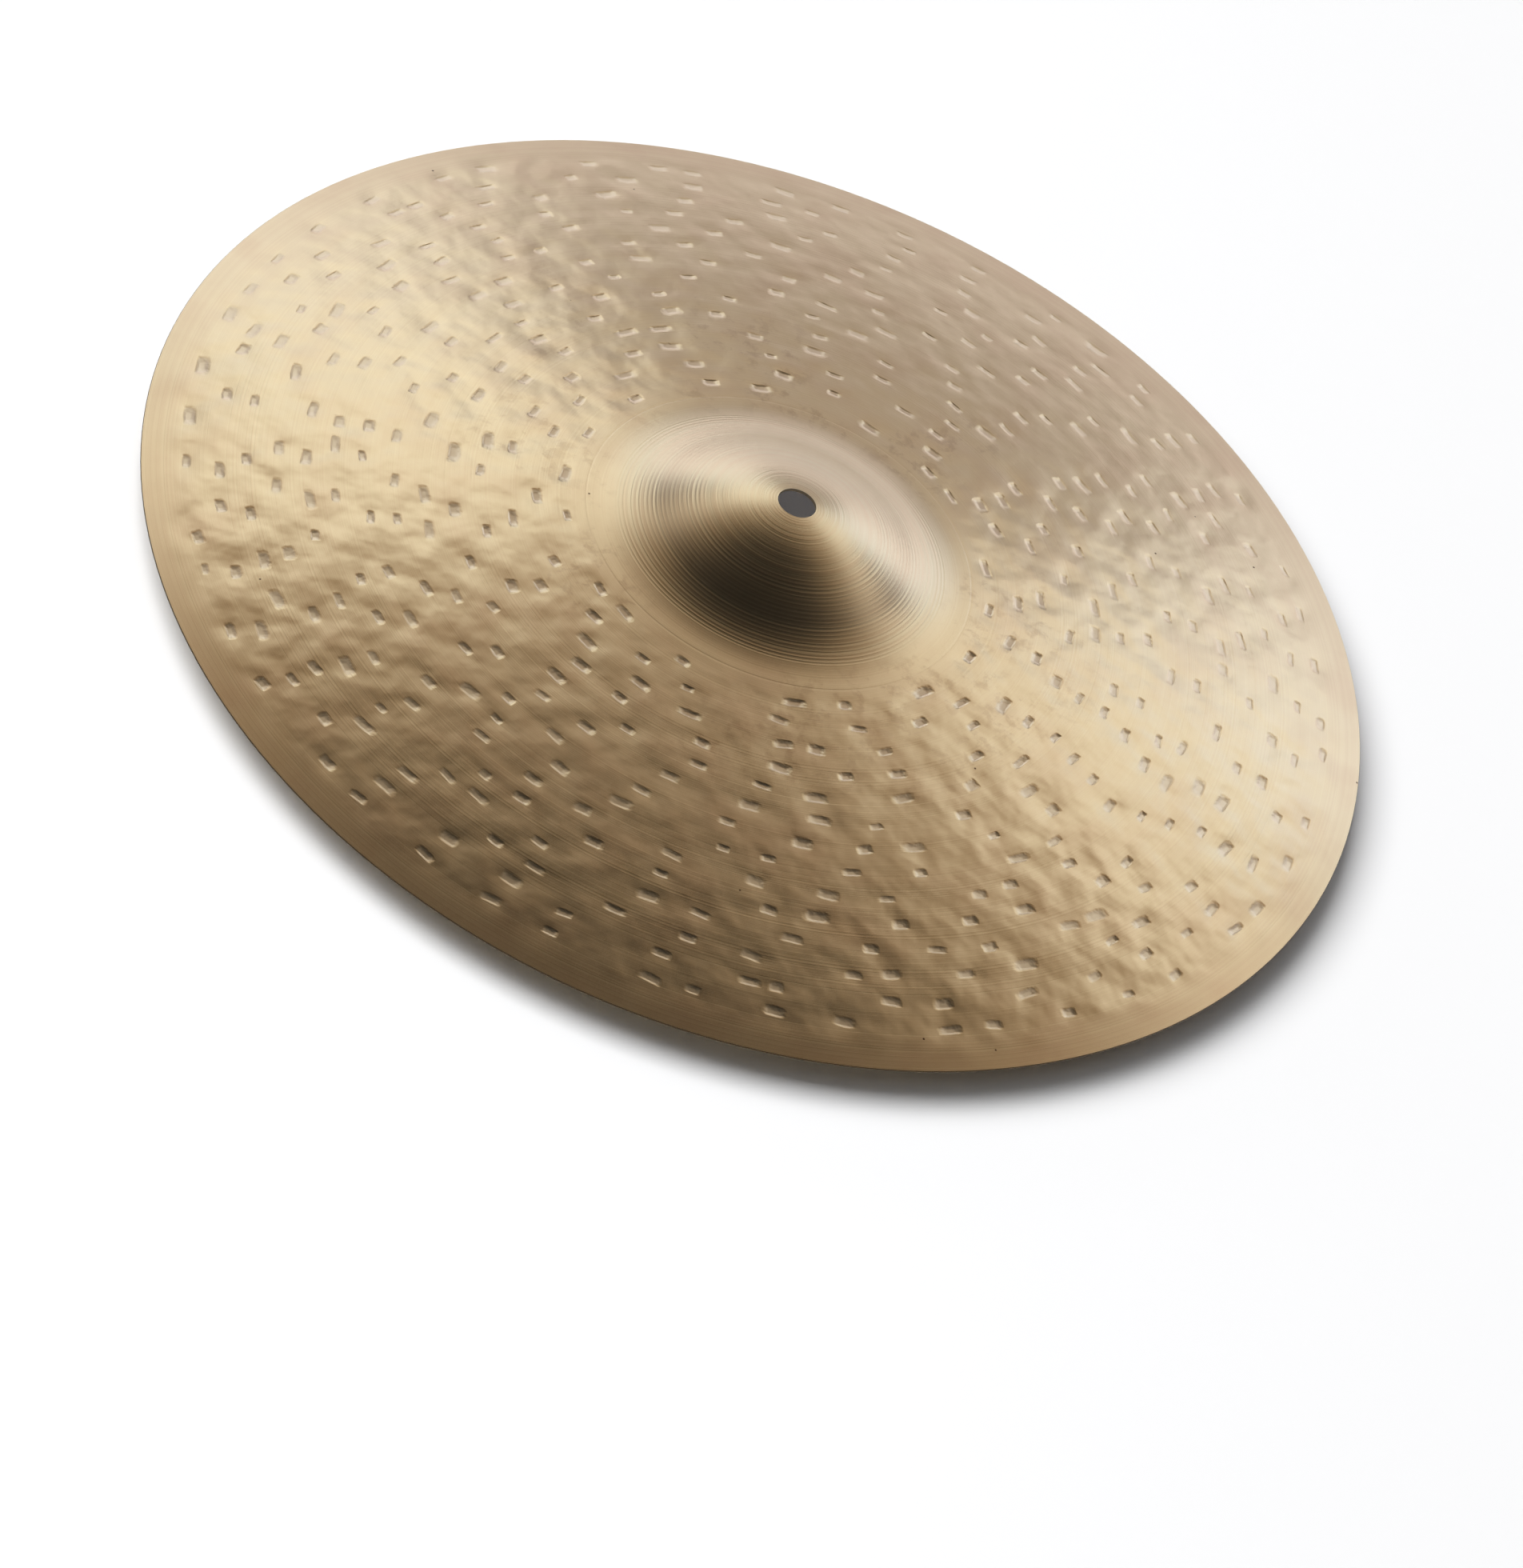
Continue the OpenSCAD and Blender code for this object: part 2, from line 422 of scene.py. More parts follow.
class PlateMesh:
    """Spins the plate's outline, makes it finer round the marks and presses them in."""

    STEPS = 192            # round the bell
    CROWN_ROWS, GROOVE_ROWS, FOOT_ROWS = 16, 4, 5  # on the crown, to each groove, and at the foot
    BOW_ROW = 2.3 * MM     # between the rows of the bow
    UNDER_ROW = 4.0 * MM
    MARK_EDGE = 1.1 * MM   # longest edge beside a mark
    MARK_MARGIN = 1.2 * MM
    HALVINGS = 3           # of an edge beside a mark, at most
    ALIKE = 1e-6           # difference between two equal radii or heights
    MAP_SIDE = 0.45        # share of the map's V that each side of the plate takes
    PROBE = 0.05 * MM      # step for the slope of the surface
    FAR_AWAY = 50.0        # a place beside every mark, in millimetres
    TOP, UNDER, EDGE = 1.0, -1.0, 0.0

    def __init__(self, plate, hammering, lathing):
        self.plate, self.lathing = plate, lathing
        self.top = TopProfile(plate)
        self.under = UnderProfile(plate, self.top)
        self.hammer = Hammering(hammering)
        self.hole = plate.hole_diameter / 2
        self.rim = plate.rim_diameter / 2
        self.mesh = bpy.data.meshes.new(NODE + "_bronze")

    # rows of the outline

    def groove_span(self):
        first = self.lathing.first_groove_diameter / 2 - self.lathing.groove_pitch / 2
        return first, first + self.lathing.groove_pitch * self.lathing.groove_count

    def top_rows(self):
        groove_in, groove_out = self.groove_span()
        foot = self.plate.foot_diameter / 2
        grooves = self.lathing.groove_count * self.GROOVE_ROWS
        return np.concatenate([
            np.linspace(self.hole, groove_in, self.CROWN_ROWS, endpoint=False),
            np.linspace(groove_in, groove_out, grooves, endpoint=False),
            np.linspace(groove_out, foot, self.FOOT_ROWS, endpoint=False),
            np.linspace(foot, self.rim - self.plate.rim_chamfer, round((self.rim - foot) / self.BOW_ROW)),
        ])

    def under_rows(self):
        outer = self.under.radii[-1]
        return np.linspace(outer, self.hole, round((outer - self.hole) / self.UNDER_ROW))

    def outline(self):
        """Points (radius, height, side) from the hole over the rim and back."""
        points = [(r, self.top.height(r), self.TOP) for r in self.top_rows()]
        low = self.plate.rim_chamfer
        high = self.top.height(self.rim) - self.plate.rim_chamfer
        points += [(self.rim, high, self.EDGE), (self.rim, low, self.EDGE)]
        points += [(r, self.under.height(r), self.UNDER) for r in self.under_rows()]
        return points

    def spin(self):
        """The closed outline, spun round the axis."""
        bm = bmesh.new()
        side = bm.verts.layers.float.new("side")
        chain = []
        for r, z, value in self.outline():
            vertex = bm.verts.new((r, 0, z))
            vertex[side] = value
            chain.append(vertex)
        edges = [bm.edges.new(pair) for pair in zip(chain, chain[1:] + chain[:1])]
        bmesh.ops.spin(
            bm, geom=chain + edges, cent=(0, 0, 0), axis=(0, 0, 1), angle=math.tau,
            steps=self.STEPS, use_merge=True)
        bmesh.ops.recalc_face_normals(bm, faces=bm.faces)
        return bm, side

    # finer rows

    def halve_round(self, bm, radius):
        """Halves the steps round the plate outside a radius, on both sides."""
        chosen = []
        for edge in bm.edges:
            a, b = edge.verts
            ra, rb = math.hypot(a.co.x, a.co.y), math.hypot(b.co.x, b.co.y)
            if min(ra, rb) > radius and max(abs(ra - rb), abs(a.co.z - b.co.z)) < self.ALIKE:
                chosen.append(edge)
        bmesh.ops.subdivide_edges(bm, edges=chosen, cuts=1, use_grid_fill=True)

    def nearest_mark(self, x, y):
        found = self.hammer.tree.find((x, y, 0))
        return self.hammer.marks[found[1]] if found[1] is not None else None

    def beside_mark(self, x, y):
        mark = self.nearest_mark(x, y)
        if mark is None:
            return False
        u, v = self.hammer.local(mark, x, y)
        return (abs(u) < self.hammer.settings.length / 2 + self.MARK_MARGIN
                and abs(v) < self.hammer.settings.width / 2 + self.MARK_MARGIN)

    def refine(self, bm, side):
        """Cuts the edges beside the marks until they are short enough."""
        for _ in range(self.HALVINGS):
            chosen = []
            for edge in bm.edges:
                a, b = edge.verts
                if a[side] < 0.5 or b[side] < 0.5 or edge.calc_length() < self.MARK_EDGE:
                    continue
                middle = (a.co + b.co) / 2
                if any(self.beside_mark(p.x, p.y) for p in (middle, a.co, b.co)):
                    chosen.append(edge)
            if not chosen:
                break
            bmesh.ops.subdivide_edges(bm, edges=chosen, cuts=1, use_grid_fill=True)
        bmesh.ops.triangulate(bm, faces=[f for f in bm.faces if len(f.verts) > 4])

    # heights

    def grooves(self, r):
        """Turned grooves on the side of the bell."""
        start, end = self.groove_span()
        window = smooth_step(r, start, start + self.lathing.groove_pitch)
        window = window * (1 - smooth_step(r, end - self.lathing.groove_pitch, end))
        turns = (r - start) / self.lathing.groove_pitch
        return -self.lathing.groove_depth * window * (0.5 - 0.5 * np.cos(math.tau * turns))

    def relief(self, x, y, near, sharp):
        """Height of the finished surface above the smooth one, with or without its sharp forms."""
        height = self.hammer.uneven(x, y)
        if sharp:
            height = height + self.grooves(np.hypot(x, y))
        for mark, chosen in zip(self.hammer.marks, near):
            height[chosen] += self.hammer.dip(mark, x[chosen], y[chosen])
            if sharp:
                height[chosen] += self.hammer.dent(mark, x[chosen], y[chosen])
        return height

    def points_near_marks(self, x, y):
        reach = 3 * Hammering.DIP_ALONG
        tree = KDTree(len(x))
        for i, (px, py) in enumerate(zip(x, y)):
            tree.insert((px, py, 0), i)
        tree.balance()
        return [np.array([i for _, i, _ in tree.find_range(mark.centre, reach)], int)
                for mark in self.hammer.marks]

    def shape(self, xy, profile, sign):
        """Places and normals of points on one side, from their x and y.

        The normals follow the soft forms alone: the bronze's own bump draws the sharp ones.
        """
        x, y = xy[:, 0].copy(), xy[:, 1].copy()
        r = np.hypot(x, y)
        near = self.points_near_marks(x, y)
        soft = self.relief(x, y, near, False)
        step = self.PROBE
        slope_x = (self.relief(x + step, y, near, False) - soft) / step
        slope_y = (self.relief(x, y + step, near, False) - soft) / step
        sine = profile.sine(r)
        cosine = np.sqrt(1 - sine**2)
        out = np.stack([x / r, y / r], 1)
        normal = np.stack([out[:, 0] * sine, out[:, 1] * sine, cosine], 1)
        height = self.relief(x, y, near, True) if sign > 0 else soft
        place = np.stack([x, y, profile.height(r)], 1) + normal * height[:, None]
        turned = normal - np.stack([slope_x, slope_y, np.zeros_like(x)], 1)
        turned /= np.linalg.norm(turned, axis=1)[:, None]
        return place, turned * sign

    def build(self):
        bm, side = self.spin()
        foot = self.plate.foot_diameter / 2
        self.halve_round(bm, foot + self.BOW_ROW / 2)
        self.refine(bm, side)
        bm.verts.ensure_lookup_table()
        sides = np.array([v[side] for v in bm.verts])
        places = np.array([v.co for v in bm.verts])
        normals = np.zeros_like(places)
        for sign, profile in ((self.TOP, self.top), (self.UNDER, self.under)):
            chosen = np.nonzero(sides * sign > 0.5)[0]
            places[chosen], normals[chosen] = self.shape(places[chosen, :2], profile, sign)
        for vertex, place in zip(bm.verts, places):
            vertex.co = place
        bmesh.ops.recalc_face_normals(bm, faces=bm.faces)
        for face in bm.faces:
            face.smooth = True
        bm.to_mesh(self.mesh)
        bm.free()
        self.find_corners(sides)
        self.set_normals(normals)
        self.set_marks()
        self.set_map()
        return self.mesh

    def find_corners(self, sides):
        """Each corner's vertex, face and place, and the side of the plate that its face lies on."""
        polygons = self.mesh.polygons
        self.vertex = read(self.mesh.loops, "vertex_index", kind=int)
        self.face = np.repeat(np.arange(len(polygons)), read(polygons, "loop_total", kind=int))
        self.place = read(self.mesh.vertices, "co", 3)[self.vertex]
        low = np.full(len(polygons), 2.0)
        high = -low
        np.minimum.at(low, self.face, sides[self.vertex])
        np.maximum.at(high, self.face, sides[self.vertex])
        # 1 for a face wholly on top, -1 for one wholly underneath, 0 for the rim and the bore
        self.kind = np.where(low > 0.5, 1, np.where(high < -0.5, -1, 0))[self.face]

    def set_normals(self, normals):
        """Smooth normals on both sides, and upright walls that stay round at the rim and the bore."""
        facing = read(self.mesh.polygons, "normal", 3)[self.face]
        # round the rim and the bore a face keeps its own steepness, turned to each corner
        out = self.place[:, :2] / np.hypot(self.place[:, 0], self.place[:, 1])[:, None]
        level = (facing[:, :2] * out).sum(1)
        flat = np.hypot(facing[:, 0], facing[:, 1])
        round_normal = np.concatenate([out * (np.sign(level) * flat)[:, None], facing[:, 2:]], 1)
        picked = np.where((self.kind != 0)[:, None], normals[self.vertex], round_normal)
        self.mesh.normals_split_custom_set(picked.tolist())

    def set_marks(self):
        """Each corner's place in its nearest mark, in millimetres, and that mark's variety."""
        values = np.tile((self.FAR_AWAY, self.FAR_AWAY, 0.0), (len(self.vertex), 1))
        reach = Hammering.DIP_ALONG
        for polygon in self.mesh.polygons:
            if self.kind[polygon.loop_start] != 1:
                continue
            centre = polygon.center
            mark = self.nearest_mark(centre.x, centre.y)
            if mark is None or (mark.centre - Vector((centre.x, centre.y, 0))).length > reach:
                continue
            for corner in polygon.loop_indices:
                u, v = self.hammer.local(mark, *self.place[corner, :2])
                values[corner] = (u / MM, v / MM, mark.variety)
        layer = self.mesh.attributes.new("mark", "FLOAT_VECTOR", "CORNER")
        layer.data.foreach_set("vector", values.ravel())

    def set_map(self):
        """A map that runs round the plate in U and from the hole over the rim to the hole in V."""
        middle = read(self.mesh.polygons, "center", 3)[self.face]
        u, centre_u = ((np.arctan2(at[:, 1], at[:, 0]) / math.tau) % 1.0 for at in (self.place, middle))
        u = u - np.round(u - centre_u)
        r = np.hypot(self.place[:, 0], self.place[:, 1]) / self.rim
        v = np.where(self.kind == -1, 1 - self.MAP_SIDE * r, self.MAP_SIDE * r)
        v = np.where(self.kind == 0, 0.5 + (self.place[:, 2] / self.rim), v)
        layer = self.mesh.uv_layers.new(name="turned")
        layer.data.foreach_set("uv", np.stack([np.clip(u, 0, 1), v], 1).ravel())


# ---------------------------------------------------------------- shader maths

class Wire:
    """A shader socket. The usual operators on it add Math nodes."""

    def __init__(self, graph, socket):
        self.graph, self.socket = graph, socket

    def maths(self, operation, *others):
        return self.graph.maths(operation, self, *others)

    def __add__(self, other):
        return self.maths("ADD", other)

    def __radd__(self, other):
        return self.graph.maths("ADD", other, self)

    def __sub__(self, other):
        return self.maths("SUBTRACT", other)

    def __rsub__(self, other):
        return self.graph.maths("SUBTRACT", other, self)

    def __mul__(self, other):
        return self.maths("MULTIPLY", other)

    def __rmul__(self, other):
        return self.graph.maths("MULTIPLY", other, self)

    def __truediv__(self, other):
        return self.maths("DIVIDE", other)

    def __rtruediv__(self, other):
        return self.graph.maths("DIVIDE", other, self)

    def __pow__(self, other):
        return self.maths("POWER", other)

    def __abs__(self):
        return self.maths("ABSOLUTE")


class Graph:
    """A node tree: node() adds any node, maths() a Math node."""

    def __init__(self, tree):
        self.tree = tree
        tree.nodes.clear()

    def node(self, kind, settings=None, inputs=None):
        made = self.tree.nodes.new(kind)
        for name, value in (settings or {}).items():
            setattr(made, name, value)
        for name, value in (inputs or {}).items():
            if isinstance(value, Wire):
                self.tree.links.new(value.socket, made.inputs[name])
            else:
                made.inputs[name].default_value = value
        return Outputs(self, made)

    def maths(self, operation, *values):
        return self.node("ShaderNodeMath", {"operation": operation}, dict(enumerate(values)))["Value"]

    def ramp(self, value, low, high):
        """0 below low and 1 above high, with a smooth step between."""
        return self.node(
            "ShaderNodeMapRange", {"interpolation_type": "SMOOTHSTEP"},
            {"Value": value, "From Min": low, "From Max": high})["Result"]

    def mix(self, share, first, second):
        """A colour between two others."""
        return self.node(
            "ShaderNodeMix", {"data_type": "RGBA"},
            {"Factor": share, 6: first, 7: second})[2]


class Outputs:
    """A node's outputs, as wires."""

    def __init__(self, graph, made):
        self.graph, self.made = graph, made

    def __getitem__(self, name):
        return Wire(self.graph, self.made.outputs[name])


def colour(rgb):
    return (*rgb, 1.0)


class BronzeFinish:
    """The bronze's shader: turned lines and grooves, ripples, hammer marks, tarnish and pits."""

    BEND = 0.02            # how much the most bent marks curve, per millimetre
    STEEP, GENTLE = 0.82, 1.45  # width of a mark's slopes on the rim's side and on the axis's side
    LONG, LONG_PLAY = 1.12, 0.25  # length of a mark's slopes against the mark, and how much it varies
    WIDE, WIDE_PLAY = 0.92, 0.15
    DEEP, DEEP_PLAY = 1.19, 0.31
    DEEPER_INSIDE = 0.44   # how much deeper the innermost marks are drawn
    LEAN = 0.375           # share by which a mark is deeper at its far end
    RAGGED = 0.25          # how uneven the outline of a mark is, as a share of its size
    SQUARE = 4.0           # exponent of a mark's outline, from 2 for an ellipse
    INSIDE = 70 * MM       # width of the inner part of the bow, whose marks are deeper and browner
    WORN = 0.5             # share of the grooves' depth that polishing has left
    EDGE_WIDTH = 0.3 * MM  # of the turned edge round the foot of the bell
    BELL_INNER, BELL_OUTER = 50 * MM, 62 * MM  # where the bell's finish gives way to the bow's
    TURNING_BANDS, TARNISH_BANDS = 16 * MM, 5 * MM  # usual widths of uneven turned bands
    BELL_RINGS = 1.9 * MM
    TARNISH_CLOUDS, GLOSS_CLOUDS, OUTLINE_CLOUDS = 22 * MM, 9 * MM, 1.6 * MM
    PATCH, PATCH_GROUP = 6 * MM, 34 * MM  # sizes of a brown patch and of a group of them
    PATCHED = (66 * MM, 90 * MM, 35 * MM)  # radii between which the patches lie, and how they fade
    PIT_SPACING = 17 * MM
    RIPPLE_FADE = 7 * MM
    HOLE_ZONE, RIM_ZONE, ZONE_FADE = 15 * MM, 8.2 * MM, 10 * MM  # widths where walls and broken edges get the painted shade colour

    def __init__(self, scene):
        self.hammering, self.lathing = scene.cymbal_hammering, scene.cymbal_lathing
        self.finish = scene.cymbal_finish
        self.rim = scene.cymbal_plate.rim_diameter / 2
        self.material = bpy.data.materials.new("lathed_bronze")
        self.material.use_nodes = True
        self.g = Graph(self.material.node_tree)
        self.place = self.g.node("ShaderNodeTexCoord")["Object"]
        axes = self.g.node("ShaderNodeSeparateXYZ", inputs={"Vector": self.place})
        self.radius = (axes["X"] * axes["X"] + axes["Y"] * axes["Y"]) ** 0.5
        self.first = self.hammering.first_ring_diameter / 2
        self.last = self.first + self.hammering.ring_pitch * (self.hammering.ring_count - 1)
        self.plain = self.g.ramp(self.radius, self.last, self.last + self.hammering.ring_pitch)
        self.inside = 1 - self.g.ramp(self.radius, self.first, self.first + self.INSIDE)
        self.on_bell = 1 - self.g.ramp(self.radius, self.BELL_INNER, self.BELL_OUTER)

    # patterns

    def turned(self, pitch, detail):
        """Noise that changes with the radius alone, as a turning tool leaves it."""
        return self.g.node(
            "ShaderNodeTexNoise", {"noise_dimensions": "1D"},
            {"W": self.radius / pitch, "Scale": 1.0, "Detail": detail, "Roughness": 0.6})["Fac"]

    def clouds(self, size, detail):
        """Soft patches of about a given size."""
        return self.g.node(
            "ShaderNodeTexNoise", {"noise_dimensions": "3D"},
            {"Vector": self.place, "Scale": 1 / size, "Detail": detail})["Fac"]

    def smears(self, size):
        """Small ragged patches."""
        return self.g.node(
            "ShaderNodeTexNoise", {"noise_dimensions": "3D"},
            {"Vector": self.place, "Scale": 1 / size, "Detail": 4.0, "Roughness": 0.65,
             "Distortion": 0.2})["Fac"]

    def band(self, inner, outer, soft):
        """1 between two radii, fading over a soft edge."""
        begun = self.g.ramp(self.radius, inner - soft, inner)
        return begun * (1 - self.g.ramp(self.radius, outer, outer + soft))

    # heights

    def mark(self):
        """Share of the struck bronze, and height, of the nearest mark."""
        local = self.g.node("ShaderNodeSeparateXYZ", inputs={
            "Vector": self.g.node("ShaderNodeAttribute", {"attribute_name": "mark"})["Vector"]})
        variety = local["Z"]
        longer, wider, deeper = (
            (variety * math.tau * turns).maths("SINE") for turns in (1.7, 2.9, 4.3))
        half_length, half_width = self.hammering.length / MM / 2, self.hammering.width / MM / 2
        bent = local["Y"] + variety * self.BEND * local["X"] * local["X"]
        u = local["X"] / (half_length * (self.LONG + self.LONG_PLAY * longer))
        v = bent / (half_width * (self.WIDE + self.WIDE_PLAY * wider))
        v = v / (self.g.ramp(v, -0.2, 0.2) * (self.GENTLE - self.STEEP) + self.STEEP)
        away = (abs(u) ** self.SQUARE + abs(v) ** self.SQUARE) ** (1 / self.SQUARE)
        ragged = (self.clouds(self.OUTLINE_CLOUDS, 1.0) - 0.5) * self.RAGGED
        share = 1 - self.g.ramp(away + ragged, 0.3, 1.2)
        depth = self.DEEP + u * self.LEAN + deeper * self.DEEP_PLAY + self.inside * self.DEEPER_INSIDE
        return share, share * depth * -self.hammering.depth

    def grooves(self):
        """The grooves on the side of the bell, which meet in sharp ridges."""
        pitch = self.lathing.groove_pitch
        start = (self.lathing.first_groove_diameter - pitch) / 2
        end = start + pitch * self.lathing.groove_count
        swing = abs(((self.radius - start) * (math.pi / pitch)).maths("SINE"))
        return self.band(start + pitch, end - pitch, pitch) * swing * -self.lathing.groove_depth * self.WORN

    def edge(self):
        """The thin turned edge round the foot of the bell."""
        radius = self.lathing.edge_diameter / 2
        line = self.band(radius, radius + self.EDGE_WIDTH, self.EDGE_WIDTH)
        return line * self.lathing.groove_depth * -self.WORN

    def turning(self):
        """The regular turned lines of the bow, deeper here and there and on the plain band."""
        swing = (self.radius * (math.tau / self.lathing.turning_pitch)).maths("SINE")
        kept = self.g.ramp(self.turned(self.TURNING_BANDS, 1.0), 0.3, 0.7)
        return swing * (0.2 + self.plain * 0.8) * kept * (self.lathing.turning_depth / 2)

    def ripples(self):
        """Short uneven ripples between the marks."""
        hammered = self.band(self.first, self.last, self.RIPPLE_FADE)
        return (self.clouds(self.hammering.ripple_size, 1.5) - 0.5) * hammered * self.hammering.ripples

    # colours

    def tarnish(self, lines):
        """How far the bronze has dulled: clouds, turned bands and fine turned lines."""
        cloudy = self.g.ramp(self.clouds(self.TARNISH_CLOUDS, 3.0), 0.42, 0.72) * 0.5
        bands = self.turned(self.TARNISH_BANDS, 2.0) * (0.3 + self.plain * 0.5)
        return cloudy + bands + (lines - 0.5) * 0.9

    def patina(self):
        """Brown patches between the innermost marks."""
        patches = self.g.ramp(self.smears(self.PATCH), 0.49, 0.66)
        groups = self.g.ramp(self.clouds(self.PATCH_GROUP, 1.0), 0.46, 0.6)
        return patches * groups * self.band(*self.PATCHED) * 0.36

    def pits(self):
        """A few casting pits, a millimetre wide at most."""
        cells = self.g.node(
            "ShaderNodeTexVoronoi", inputs={"Vector": self.place, "Scale": 1 / self.PIT_SPACING})
        return 1 - self.g.ramp(cells["Distance"], 0.012, 0.03)

    def cut(self):
        """Painted shade: the upright walls of the rim and the hole, with the rim's broken edges, which take
        a near-black colour.
        """
        facing = self.g.node("ShaderNodeNewGeometry")["True Normal"]
        level = abs(self.g.node("ShaderNodeSeparateXYZ", inputs={"Vector": facing})["Z"])
        at_edge = 1 - self.band(self.HOLE_ZONE, self.rim - self.RIM_ZONE, self.ZONE_FADE)
        return 1 - self.g.ramp(level, 0.5 + at_edge * 0.35, 0.65 + at_edge * 0.3)

    def bow_colour(self, tarnish):
        """Lathed bronze with its tarnish, brown patches and pits, and painted shade on the upright walls."""
        finish = self.finish
        base = self.g.mix(tarnish, colour(finish.bronze), colour(finish.tarnish))
        base = self.g.mix(self.patina(), base, colour(finish.patina))
        base = self.g.mix(self.pits(), base, colour(finish.pit))
        # painted shade: the upright walls take the near-black colour
        return self.g.mix(self.cut(), base, colour(finish.cut))

    def bell_colour(self, tarnish, rings):
        """Deeply lathed bronze, duller on some of its rings."""
        dulled = self.g.ramp(rings, 0.35, 0.65) * 0.4 + tarnish * 0.2
        return self.g.mix(dulled, colour(self.finish.bell), colour(self.finish.tarnish))

    def struck_colour(self, share):
        """Pale in the marks, and browner in the floors of the innermost ones."""
        browner = self.g.ramp(share, 0.6, 0.95) * self.inside * 0.5
        return self.g.mix(browner, colour(self.finish.struck), colour(self.finish.patina))

    # shaders

    def metal(self, base, rough, normal, grain=0.0):
        """Bare bronze, rougher across its turned lines than along them by its grain."""
        return self.g.node("ShaderNodeBsdfPrincipled", inputs={
            "Base Color": base, "Metallic": 1.0, "Roughness": rough, "Normal": normal,
            "Anisotropic": grain, "Anisotropic Rotation": 0.25})["BSDF"]

    def blend(self, share, first, second):
        """One shader with a share of another over it."""
        return self.g.node("ShaderNodeMixShader", inputs={0: share, 1: first, 2: second})["Shader"]

    def build(self):
        g, finish, lathing = self.g, self.finish, self.lathing
        share, dent = self.mark()
        lines = self.turned(lathing.line_pitch, 3.0)
        rings = self.turned(self.BELL_RINGS, 2.0)
        height = (dent + self.grooves() + self.edge() + self.ripples()
                  + lines * (1 - share) * lathing.line_depth + rings * self.on_bell * lathing.ring_depth
                  + self.turning() * (1 - share) * (1 - self.on_bell))
        bump = g.node("ShaderNodeBump", inputs={"Strength": 1.0, "Distance": 1.0, "Height": height})
        normal = bump["Normal"]
        tarnish = self.tarnish(lines)
        uneven = (self.clouds(self.GLOSS_CLOUDS, 2.0) - 0.5) * 0.04
        bow = self.metal(self.bow_colour(tarnish), finish.roughness + uneven, normal, finish.grain)
        bell = self.metal(self.bell_colour(tarnish, rings), finish.bell_roughness, normal, finish.bell_grain)
        struck = self.metal(self.struck_colour(share), finish.struck_roughness, normal)
        shader = self.blend(g.ramp(share, 0.1, 0.6), self.blend(self.on_bell, bow, bell), struck)
        g.node("ShaderNodeOutputMaterial", inputs={"Surface": shader})
        return self.material


# ---------------------------------------------------------------- stage

BLACK, WHITE = (0.0, 0.0, 0.0), (1.0, 1.0, 1.0)
FLOOR_SIZE = 8.0           # half the width of the floor
FLOOR_SPECK = (0.82, 0.82, 0.82)  # colour of its faint grain
FLOOR_BOUNCED = (0.7, 0.7, 0.7)  # what the floor gives back of light that it has already met
HOLE_GLOW = (0.04, 0.043, 0.052)  # painted light: the floor glows faintly under the plate so the centre hole shows grey
HOLE_GLOW_RADII = (0.1, 0.2)

# The studio that the plate mirrors. Behind it, surfaces stand over a dusky floor line, each
# fading in between two heights: a pale horizon, a dark gap, a warm ceiling, brown beams, the dark.
DUSK = (0.1, 0.1, 0.15)
SURFACES_BEHIND = (
    (0.0, 0.18, (1.3, 1.2, 1.25)),
    (0.24, 0.43, BLACK),
    (0.5, 0.64, (0.9, 0.77, 0.64)),
    (0.69, 0.79, (0.37, 0.24, 0.12)),
    (0.86, 0.92, BLACK),
)
ROOM_IN_FRONT = (1.0, 0.97, 0.94)

# Soft boxes in two rows at both sides, and wide lamps that light the floor.
COOL, PLAIN, GREENISH = (0.9, 1.0, 1.15), (0.95, 1.0, 1.05), (0.88, 1.06, 1.05)
LOW_ROW, HIGH_ROW = 27.0, 42.0  # elevations
SOFT_BOXES = (             # name, azimuth, elevation, radiance, tint, lean
    ("softbox_right_low", 65.0, LOW_ROW, 1.2, COOL, 8.0),
    ("softbox_right_high", 67.5, HIGH_ROW, 0.5, GREENISH, 8.0),
    ("softbox_left_low", 115.0, LOW_ROW, 1.1, PLAIN, -8.0),
    ("softbox_left_high", 112.5, HIGH_ROW, 0.7, GREENISH, -8.0),
)
SOFT_BOX_DISTANCE, SOFT_BOX_SIZE = 2.5, (0.9, 0.65)
FLOOR_LAMPS = (            # name, azimuth, elevation, size, radiance, tint
    ("floor_key", 190.0, 58.0, 5.0, 5.6, WHITE),
    ("floor_fill", 205.0, 72.0, 10.0, 0.65, (0.97, 1.0, 1.05)),
)
FLOOR_LAMP_DISTANCE = 6.0


def floor_material(stage):
    """Plain pale matt floor, with painted light: a faint glow under the plate so that the centre hole shows
    grey.
    """
    material = bpy.data.materials.new("pale_floor")
    material.use_nodes = True
    g = Graph(material.node_tree)
    place = g.node("ShaderNodeTexCoord")["Object"]
    grain = g.node("ShaderNodeTexNoise", inputs={"Vector": place, "Scale": 40.0, "Detail": 2.0})["Fac"]
    pale = g.mix(grain * 0.02, colour(stage.floor_colour), colour(FLOOR_SPECK))
    axes = g.node("ShaderNodeSeparateXYZ", inputs={"Vector": place})
    radius = (axes["X"] * axes["X"] + axes["Y"] * axes["Y"]) ** 0.5
    glow = g.mix(g.ramp(radius, *HOLE_GLOW_RADII), colour(HOLE_GLOW), colour(BLACK))
    bounced = g.ramp(g.node("ShaderNodeLightPath")["Diffuse Depth"], 0.4, 0.6)
    pale = g.mix(bounced, pale, colour(FLOOR_BOUNCED))
    shader = g.node("ShaderNodeBsdfPrincipled", inputs={
        "Base Color": pale, "Roughness": 0.9, "Specular IOR Level": 0.0,
        "Emission Color": glow, "Emission Strength": 1.0})["BSDF"]
    g.node("ShaderNodeOutputMaterial", inputs={"Surface": shader})
    return material


